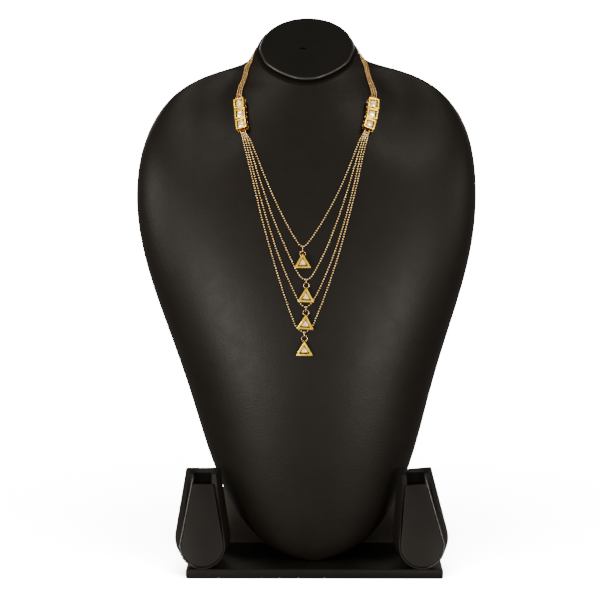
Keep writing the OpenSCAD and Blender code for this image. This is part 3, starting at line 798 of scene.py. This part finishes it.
# Free of beads on each side of a link, and how far the strand lies under the link's top.
LINK_ROOM, LINK_TOP = 0.95 * MM, 1.0 * MM
# A chain settles on the skin after its start, and leaves it towards its foot.
LAY_GAP, LAY_START, LAY_FADE = 0.15 * MM, 4 * MM, 14 * MM
FOOT_FADE, FOOT_PITCH = 34 * MM, 1.5 * MM
LAY_POINTS, LAY_PASSES = 200, 30
# The wound bar above the first cell, from the middle cell's back.
BAR_UP, BAR_OUT = 13.75 * MM, 2.8 * MM


def bead_row(build, path, start, end, pitch, r, ball, index=0):
    """Beads at even distances along part of a path."""
    count = max(1, round((end - start) / pitch))
    for i in range(count + 1):
        s = start + (end - start) * i / count
        build.ball(path.at(s), path.along(s), r, *ball, index)


def strand_path(k):
    """The middle line of a strand, from its left end to its right one."""
    if k in DRILLED:
        line = open_curve(tube_line(f"strand_{k}_wire", sides=6), steps=2)
    else:
        line = open_curve(tube_line(f"strand_{k}", sides=8), steps=4)
    return Path(line if line[0].x < line[-1].x else line[::-1])


def strand(k):
    """A strand as round beads on a thin core with painted shade, free of beads where its link
    hangs.
    """
    path = strand_path(k)
    low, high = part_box(f"drop_{k}_link")
    hook = Vector(((low[0] + high[0]) / 2, (low[1] + high[1]) / 2, high[2] - LINK_TOP))
    middle = min((path.length * i / SEARCH_STEPS for i in range(SEARCH_STEPS + 1)),
                 key=lambda s: (path.at(s) - hook).length)
    build = Builder()
    for start, end in ((BEAD_R, middle - LINK_ROOM), (middle + LINK_ROOM, path.length - BEAD_R)):
        bead_row(build, path, start, end, BEAD_PITCH, BEAD_R, BEAD_BALL)
    build.tube(path.even(STRAND_SPANS), STRAND_CORE_R, sides=6, index=1)
    nodes = [f"strand_{k}"] + ([f"strand_{k}_wire"] if k in DRILLED else [])
    build.piece(f"strand_{k}_beads", [BEAD, CORE_PAINTED_SHADE], nodes)
    return path


def coil_bar(side):
    """The middle of the wound bar above the first cell of a row."""
    return face_frame(f"cell_{side}_2") @ Vector((0, BAR_UP, BAR_OUT))


def laid_chain(path, foot, skin):
    """A chain's line laid on the bust's skin, from its nape end to its foot on the bar."""
    shift = foot - path.points[-1]
    line = []
    for i in range(LAY_POINTS + 1):
        s = path.length * i / LAY_POINTS
        p = path.at(s)
        spot, normal, _, _ = skin.find_nearest(p)
        rest = spot + normal * (CHAIN_R + LAY_GAP)
        laid = p.lerp(rest, smoothstep((s - LAY_START) / LAY_FADE))
        line.append(laid.lerp(p + shift, smoothstep(1 - (path.length - s) / FOOT_FADE)))
    for _ in range(LAY_PASSES):
        line = faired(line, 0.5)
    return Path(line)


def neck_chain(side, k, skin):
    """A neck chain as round beads on a thin core with painted shade, from the nape to the wound
    bar.
    """
    name = f"neck_chain_{side}_{k}"
    line = tube_line(name, sides=8)
    if line[0].z < line[-1].z:
        line.reverse()
    across = face_frame(f"cell_{side}_1").col[0].xyz
    foot = coil_bar(side) + across * (k - 2) * FOOT_PITCH
    path = laid_chain(Path(open_curve(line, steps=4)), foot, skin)
    build = Builder()
    bead_row(build, path, CHAIN_R, path.length - CHAIN_R, CHAIN_PITCH, CHAIN_R, SMALL_BALL)
    build.tube(path.even(CHAIN_SPANS), CHAIN_CORE_R, sides=6, index=1)
    build.piece(name + "_beads", [CHAIN, CORE_PAINTED_SHADE], [name])


# Cells, drops and stones. Heights are from the back of each.

# The materials of a cell or drop, and what each is for.
GEM_MATS = [SETTING, WALL_SHADE, RECESS_SHADE, RECESS_SIDE_SHADE]
RIM, OUTER_WALL, HOLLOW, SHADED_SIDE_HOLLOW = range(4)
CELL_BACK, CELL_TOP, CELL_HALF, CELL_PITCH = 0.8 * MM, 5.0 * MM, 3.9 * MM, 8.45 * MM
CELL_WALL, CELL_RIM = 0.8 * MM, 1.0 * MM
CELL_STONE_SWELL = 1.2
DROP_TOP = 2.6 * MM
# A face with its middle this near to the top belongs to the rim.
TOP_ROOM = 0.1 * MM
# How much a face leans outwards to be in the recess, and sideways in a cell or upwards in a drop
# to be the side with deeper painted shade.
LEAN_OUT, LEAN_SHADED = 0.05, 0.2
# How far the second and third cell of a row turn against the one above, in degrees.
BENDS = {"left": (0.0, 3.5), "right": (-3.0, -8.0)}
FACET_RISE, FACET_WANDER, FACET_SCALE, GIRDLE = 0.05 * MM, 0.1 * MM, 2600.0, 0.3 * MM
WIRE_TRIM = 0.07 * MM


def cell_part(place, outer):
    """Picks a cell's frame, its dark red side walls, the sloped recess round its stone or that
    recess's side facing the bust's middle; walls, recess and side carry painted shade.
    """
    inverse = place.inverted()
    across, out = place.col[0].xyz, place.col[2].xyz

    def pick(face):
        spot = inverse @ face.calc_center_median()
        inside = max(abs(spot.x), abs(spot.y)) < CELL_HALF - CELL_WALL
        if spot.z < CELL_TOP - CELL_RIM and not inside:
            return OUTER_WALL
        if not inside or face.normal.dot(out) < LEAN_OUT or spot.z > CELL_TOP - TOP_ROOM:
            return RIM
        return SHADED_SIDE_HOLLOW if face.normal.dot(across) * outer < -LEAN_SHADED else HOLLOW
    return pick


def drop_part(place):
    """Picks a drop's rim, the sloped recess round its stone or the recess's upward-facing
    slopes; the recess carries painted shade, deeper on those slopes.
    """
    inverse = place.inverted()
    up, out = place.col[1].xyz, place.col[2].xyz

    def pick(face):
        spot = inverse @ face.calc_center_median()
        if face.normal.dot(out) < LEAN_OUT or spot.z > DROP_TOP - TOP_ROOM:
            return RIM
        return SHADED_SIDE_HOLLOW if face.normal.dot(up) > LEAN_SHADED else HOLLOW
    return pick


def bend(side, k):
    """The turn of a cell about the joints above it, in the plane of its row."""
    turn = Matrix.Identity(4)
    for below in range(2, k + 1):
        joint = face_frame(f"cell_{side}_{below}") @ Matrix.Translation((0, CELL_PITCH / 2, 0))
        angle = math.radians(BENDS[side][below - 2])
        turn = turn @ joint @ Matrix.Rotation(angle, 4, "Z") @ joint.inverted()
    return turn


def cut_stone(name, place, turn=None, swell=1.0):
    """The CAD stone with each facet broken into smaller, uneven ones."""
    bm = cad_mesh(name)
    out = place.col[2].xyz
    tops = [f for f in bm.faces if f.normal.dot(out) > 0.15]
    bmesh.ops.poke(bm, faces=tops, offset=FACET_RISE)
    base = min(v.co.dot(out) for v in bm.verts)
    for vert in bm.verts:
        if vert.co.dot(out) - base > GIRDLE:
            vert.co += out * (FACET_WANDER * noise.noise(vert.co * FACET_SCALE))
    middle = mean(v.co for v in bm.verts)
    for vert in bm.verts:
        reach = vert.co - middle
        vert.co += (reach - out * reach.dot(out)) * (swell - 1)
    if turn is not None:
        bmesh.ops.transform(bm, matrix=turn, verts=bm.verts)
    adopt(from_copy(bm, name + "_cut", [STONE]), [name])


def thinner(name):
    """A CAD ring or link made thinner by the same amount all round."""
    bm = welded(name)
    bm.normal_update()
    moved = [(vert, vert.co - vert.normal * WIRE_TRIM) for vert in bm.verts]
    for vert, point in moved:
        vert.co = point
    obj = from_copy(bm, name + "_wire", [WIRE])
    shade_smooth(obj.data)
    adopt(obj, [name])


def cell(side, k):
    """A cell of a row, turned with it, and its stone."""
    name = f"cell_{side}_{k}"
    place = face_frame(name)
    turn = bend(side, k)
    eased(name, GEM_MATS, width=0.2 * MM,
          pick=cell_part(place, OUTWARD[side]), turn=turn)
    cut_stone(name + "_stone", place, turn, CELL_STONE_SWELL)


def drop(k):
    """A drop with its stone, ring and link."""
    name = f"drop_{k}"
    place = face_frame(name)
    eased(name, GEM_MATS, width=0.3 * MM, pick=drop_part(place))
    cut_stone(name + "_stone", place)
    thinner(name + "_ring")
    thinner(name + "_link")


# Each row's wires. A rod's line: the cell that each point turns with, then how far up the
# row and how far out of the middle cell's back it is, in mm.

ROD_SIDE, ROD_R = 1.7 * MM, 0.2975 * MM
ROD_LINE = ((3, -14.6, 1.7), (3, -12, 1.7), (3, -6, 1.7), (2, 0, 1.7), (1, 6, 1.7),
            (1, 12, 1.7), (1, 13, 2.0), (1, 13.7, 2.7))
BAR_HALF, BAR_R = 2.7 * MM, 0.36 * MM
COIL_R, COIL_WIRE_R, COIL_TURNS, COIL_PITCH = 0.58 * MM, 0.22 * MM, 10, 0.5 * MM
# Where a strand is tied to the rods. The two in the middle lie further out than the others.
TIE_HALF, TIE_UP, TIE_OUT, TIE_OUT_MIDDLE = 1.5 * MM, -14.9 * MM, 1.5 * MM, 2.3 * MM
TIE_PITCH, TIE_CORE_R, TIE_SPANS = 0.95 * BEAD_PITCH, 0.2 * MM, 12
TIE_START, TIE_FIRST_BEAD, TIE_AIM = 0.3 * MM, 0.5 * MM, 2 * MM
STUD_R, STUD_STRETCH, STUD_UP, STUD_OUT = 0.45 * MM, 2.0, 2.0 * MM, 0.1 * MM


def tied_strand(build, side, k, path, low_place):
    """Runs a strand on past its end, up to the rods."""
    if side == "left":
        end, before = path.points[0], path.at(TIE_AIM)
    else:
        end, before = path.points[-1], path.at(path.length - TIE_AIM)
    away = (end - before).normalized()
    share = (k - 2.5) / 1.5 * OUTWARD[side]
    top = low_place @ Vector((share * TIE_HALF, TIE_UP,
                              TIE_OUT_MIDDLE if k in (2, 3) else TIE_OUT))
    line = Path(open_curve([end + away * TIE_START, end.lerp(top, 0.5), top], steps=8))
    bead_row(build, line, TIE_FIRST_BEAD, line.length, TIE_PITCH, BEAD_R, BEAD_BALL, index=1)
    build.tube(line.even(TIE_SPANS), TIE_CORE_R, sides=6)


def station(side, strands):
    """A row's wires: rods, the coil above, the tied strands below and studs along its edges."""
    place = face_frame(f"cell_{side}_2")
    across = place.col[0].xyz
    turns = {k: bend(side, k) for k in (1, 2, 3)}
    build = Builder()
    for x in (-ROD_SIDE, ROD_SIDE):
        build.tube([turns[k] @ place @ Vector((x, y * MM, z * MM)) for k, y, z in ROD_LINE],
                   ROD_R, sides=8)
    bar = coil_bar(side)
    build.tube([bar - across * BAR_HALF, bar + across * BAR_HALF], BAR_R, sides=8)
    build.coil(bar, across, COIL_R, COIL_WIRE_R, COIL_TURNS, COIL_PITCH)
    for k, path in strands.items():
        tied_strand(build, side, k, path, turns[3] @ place)
    build.piece(f"station_wires_{side}", [WIRE, BEAD], [f"cell_rods_{side}"])

    studs = Builder()
    for k in (1, 2, 3):
        cell_place = face_frame(f"cell_{side}_{k}")
        for x in (-CELL_HALF - STUD_OUT, CELL_HALF + STUD_OUT):
            for y in (-STUD_UP, STUD_UP):
                middle = turns[k] @ cell_place @ Vector((x, y, CELL_BACK + STUD_OUT))
                studs.ball(middle, cell_place.col[1].xyz, STUD_R, *SMALL_BALL,
                           stretch=STUD_STRETCH)
    studs.piece(f"cell_edges_{side}", [WIRE])


# Every piece

bust = soft_bust()
bust_surface = BVHTree.FromPolygons([v.co for v in bust.data.vertices],
                                    [tuple(p.vertices) for p in bust.data.polygons])
cap_board()
eased("base_plank", [COVER_SHADED], width=0.9 * MM)
# The back panel's lighter leatherette is painted light.
eased("back_panel", [PANEL_PAINTED_LIGHT], width=1.0 * MM)
for side in OUTWARD:
    earring_rest(side)
strand_paths = {k: strand(k) for k in (1, 2, 3, 4)}
for side in OUTWARD:
    for k in (1, 2, 3):
        neck_chain(side, k, bust_surface)
for side in OUTWARD:
    for k in (1, 2, 3):
        cell(side, k)
    station(side, strand_paths)
for k in (1, 2, 3, 4):
    drop(k)
for name in ("chain_end_left", "chain_end_right", "clasp"):
    paint(name, WIRE)


# Camera, floor and light

CAMERA_AT = (0.0, -1.7, 0.387)
CAMERA_DOWN = math.radians(6.43)
CAMERA_TURN = math.atan2(10.6, 1700.0)
FOCAL_PIXELS, PHOTO_PIXELS, SENSOR = 2361.0, 600.0, 36.0
FLOOR_HALF, FLOOR_FADE = 3.0, (0.12, 0.75)
ROOM_LIGHT, WHITE_LIGHT = 0.27, 18.0
WARM = (1.0, 0.94, 0.86)
NEUTRAL = (1, 1, 1)
# Each lamp: name, place, aim, width, height, power.
LAMPS = (
    ("side_left", (-1.35, -0.45, 0.55), (0, 0, 0.33), 0.4, 0.6, 9.5),
    ("side_right", (1.35, -0.45, 0.55), (0, 0, 0.33), 0.4, 0.6, 4.0),
    ("high_left", (-0.65, -0.35, 1.45), (0, 0, 0.35), 0.3, 0.3, 3.25),
    ("high_right", (0.65, -0.35, 1.45), (0, 0, 0.35), 0.3, 0.3, 2.125),
    ("front_high_left", (-0.8, -1.0, 1.35), (0, 0, 0.35), 0.26, 0.26, 4.5),
    ("front_high_right", (0.8, -1.0, 1.35), (0, 0, 0.35), 0.26, 0.26, 7.0),
    ("front_left", (-1.2, -1.3, 0.6), (0, 0, 0.3), 0.35, 0.35, 2.75),
    ("front_right", (1.2, -1.3, 0.6), (0, 0, 0.3), 0.35, 0.35, 1.25),
    ("low_left", (-0.8, -1.2, 0.1), (0, 0, 0.12), 0.5, 0.25, 13.5),
    ("low_right", (0.8, -1.2, 0.1), (0, 0, 0.12), 0.5, 0.25, 11.25),
    ("front_fill", (0.1, -1.95, 0.8), (0, 0, 0.2), 0.22, 0.16, 1.25),
    ("back_left", (-0.8, 1.5, 0.9), (0, 0, 0.25), 0.5, 0.5, 8.125),
    ("back_right", (0.8, 1.5, 0.9), (0, 0, 0.25), 0.5, 0.5, 6.25),
    ("floor_bounce", (0, -0.9, 0.01), (0, -0.3, 0.4), 1.6, 0.6, 2.5))
WASH = ("floor_wash", (0.0, -0.6, 1.6), (0, 0.1, 0), 1.6, 1.6, 760)


def photo_camera():
    """The camera at the photograph's place, height and angle."""
    data = bpy.data.cameras.new("camera")
    data.sensor_width = SENSOR
    data.lens = FOCAL_PIXELS / PHOTO_PIXELS * SENSOR
    camera = linked("camera", data)
    camera.location = CAMERA_AT
    camera.rotation_euler = (math.radians(90) - CAMERA_DOWN, 0.0, CAMERA_TURN)
    bpy.context.scene.camera = camera


def mix(tree, factor, first, second, output):
    """Two shaders mixed into an output's surface."""
    mixed = node(tree, "ShaderNodeMixShader")
    for socket, source in enumerate((factor, first, second)):
        tree.links.new(source, mixed.inputs[socket])
    tree.links.new(mixed.outputs["Shader"], tree.nodes[output].inputs["Surface"])


def stage_floor():
    """A pale floor that fades outwards into the white behind it."""
    corners = [(-1, -1), (1, -1), (1, 1), (-1, 1)]
    mesh = bpy.data.meshes.new("floor")
    mesh.from_pydata([(x * FLOOR_HALF, y * FLOOR_HALF, 0) for x, y in corners], [],
                     [(0, 1, 2, 3)])
    obj = linked("floor", mesh)
    mat, tree, bsdf = material("floor_pale", Base_Color=(0.9, 0.9, 0.9, 1), Roughness=0.95,
                               Specular_IOR_Level=0.0)
    length = node(tree, "ShaderNodeVectorMath", operation="LENGTH")
    tree.links.new(object_coords(tree), length.inputs[0])
    fade = node(tree, "ShaderNodeMapRange", interpolation_type="SMOOTHSTEP",
                From_Min=FLOOR_FADE[0], From_Max=FLOOR_FADE[1])
    tree.links.new(length.outputs["Value"], fade.inputs["Value"])
    clear = node(tree, "ShaderNodeBsdfTransparent")
    mix(tree, fade.outputs["Result"], bsdf.outputs["BSDF"], clear.outputs["BSDF"],
        "Material Output")
    mesh.materials.append(mat)
    obj.visible_diffuse = False
    obj.visible_glossy = False
    return obj


def white_room():
    """White for the camera, and a dim even room for everything else."""
    world = bpy.data.worlds.new("world")
    bpy.context.scene.world = world
    world.use_nodes = True
    tree = world.node_tree
    room = tree.nodes["Background"]
    room.inputs["Color"].default_value = (*WARM, 1)
    room.inputs["Strength"].default_value = ROOM_LIGHT
    white = node(tree, "ShaderNodeBackground", Color=(*NEUTRAL, 1), Strength=WHITE_LIGHT)
    seen = node(tree, "ShaderNodeLightPath").outputs["Is Camera Ray"]
    mix(tree, seen, room.outputs["Background"], white.outputs["Background"], "World Output")


def lamp(name, place, aim, width, height, power, colour):
    """A soft rectangular lamp."""
    data = bpy.data.lights.new(name, "AREA")
    data.shape = "RECTANGLE"
    data.size, data.size_y = width, height
    data.energy = power
    data.color = colour
    obj = linked(name, data)
    obj.location = place
    obj.rotation_euler = (Vector(aim) - Vector(place)).to_track_quat("-Z", "Y").to_euler()
    return obj


photo_camera()
floor = stage_floor()
white_room()
for settings in LAMPS:
    lamp(*settings, WARM)
only_floor = bpy.data.collections.new("floor_only")
only_floor.objects.link(floor)
lamp(*WASH, NEUTRAL).light_linking.receiver_collection = only_floor
